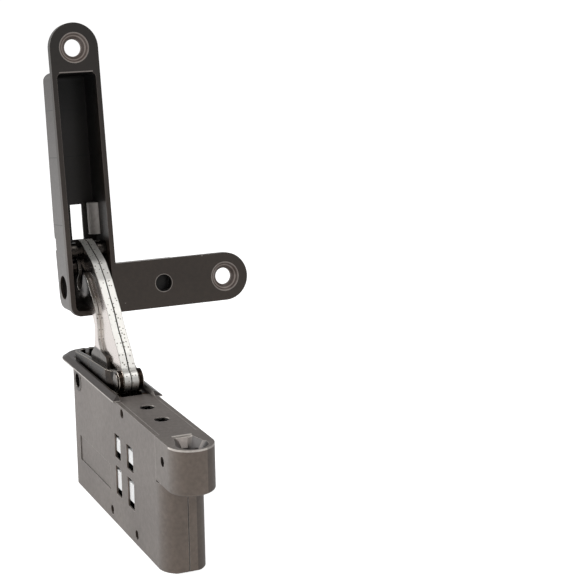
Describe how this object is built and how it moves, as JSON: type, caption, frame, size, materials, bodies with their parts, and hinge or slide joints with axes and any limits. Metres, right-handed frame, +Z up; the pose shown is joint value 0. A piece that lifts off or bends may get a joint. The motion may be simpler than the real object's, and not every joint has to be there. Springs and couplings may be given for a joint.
{
  "type": "concealed door hinge",
  "caption": "Concealed door hinge: flat mortice housing with a screw boss, plated link arms and an angled bracket with a deep pocket; stands open.",
  "frame": {"origin": "axis of the boss's screw hole, at the housing's top face, which lies flush with the door's edge", "axes": "+X along the housing towards its boss, +Y along every pivot pin, +Z up out of the door's edge"},
  "size_m": [0.1176, 0.0617, 0.1515],
  "materials": {
    "housing_paint": "satin grey-brown paint",
    "frame_paint": "satin bronze-brown paint",
    "collar_black": "semi-gloss dark grey-brown paint",
    "carrier_bronze": "plated zinc casting",
    "steel_screws": "zinc plated",
    "bush_bronze": "bronze",
    "shell_pin_steel": "blackened",
    "pin_steel": "ground",
    "nickel_plate": "polished nickel plate with sheared edges",
    "roller_steel": "ground",
    "bracket_brown": "satin dark brown paint",
    "bush_steel": "turned",
    "carriage_plastic": "moulded acetal",
    "spring_steel": "bright wire",
    "sleeve_zinc": "bright zinc plated",
    "damper_steel": "bright drawn tube",
    "abutment_cast": "cast zinc, painted"
  },
  "bodies": {
    "housing": {"near_shell": "housing_paint", "far_shell": "housing_paint", "top_frame": "frame_paint", "collar": "collar_black", "carrier_near_cheek": "carrier_bronze", "carrier_far_cheek": "carrier_bronze", "carrier_block": "carrier_bronze", "adjusting_screws": "steel_screws", "side_bushes": "bush_bronze", "shell_pins": "shell_pin_steel", "front_pin": "pin_steel", "rear_pin": "pin_steel", "guide_rod": "spring_steel", "damper_cylinder": "damper_steel", "spring_abutment": "abutment_cast", "spring_sleeves": "sleeve_zinc"},
    "front_arm": {"front_arm_near_plate": "nickel_plate", "front_arm_far_plate": "nickel_plate"},
    "bracket": {"bracket": "bracket_brown", "pocket_bead": "bracket_brown", "front_knuckle_pin": "pin_steel", "rear_knuckle_pin": "pin_steel", "front_knuckle_bushes": "bush_steel", "rear_knuckle_bushes": "bush_steel"},
    "rear_arm": {"rear_arm_near_plate": "nickel_plate", "rear_arm_far_plate": "nickel_plate", "crank_pin": "pin_steel", "crank_roller": "roller_steel"},
    "spring_carriage": {"spring_carriage": "carriage_plastic", "damper_rod": "damper_steel", "return_spring": "spring_steel"}
  },
  "joints": [
    {"name": "front_arm_pivot", "type": "hinge", "parent": "housing", "child": "front_arm", "pos_m": [-0.0542, 0, 0.004], "axis": [0, 1, 0], "range_deg": [-35.4, 0]},
    {"name": "bracket_fold", "type": "hinge", "parent": "front_arm", "child": "bracket", "pos_m": [-0.09465, 0, 0.03754], "axis": [0, 1, 0], "range_deg": [0, 133.3]},
    {"name": "rear_arm_pivot", "type": "hinge", "parent": "bracket", "child": "rear_arm", "pos_m": [-0.09556, 0, 0.03176], "axis": [0, 1, 0], "range_deg": [-136.6, 0]},
    {"name": "spring_slide", "type": "slide", "parent": "housing", "child": "spring_carriage", "axis": [1, 0, 0], "range_m": [0, 0.00545], "deforming": ["return_spring"]}
  ],
  "couplings": [
    {"joint": "front_arm_pivot", "follows": "bracket_fold", "ratio": -0.2648},
    {"joint": "rear_arm_pivot", "follows": "bracket_fold", "ratio": -1.024},
    {"joint": "spring_slide", "follows": "bracket_fold", "m_per_rad": 0.0023211}
  ]
}
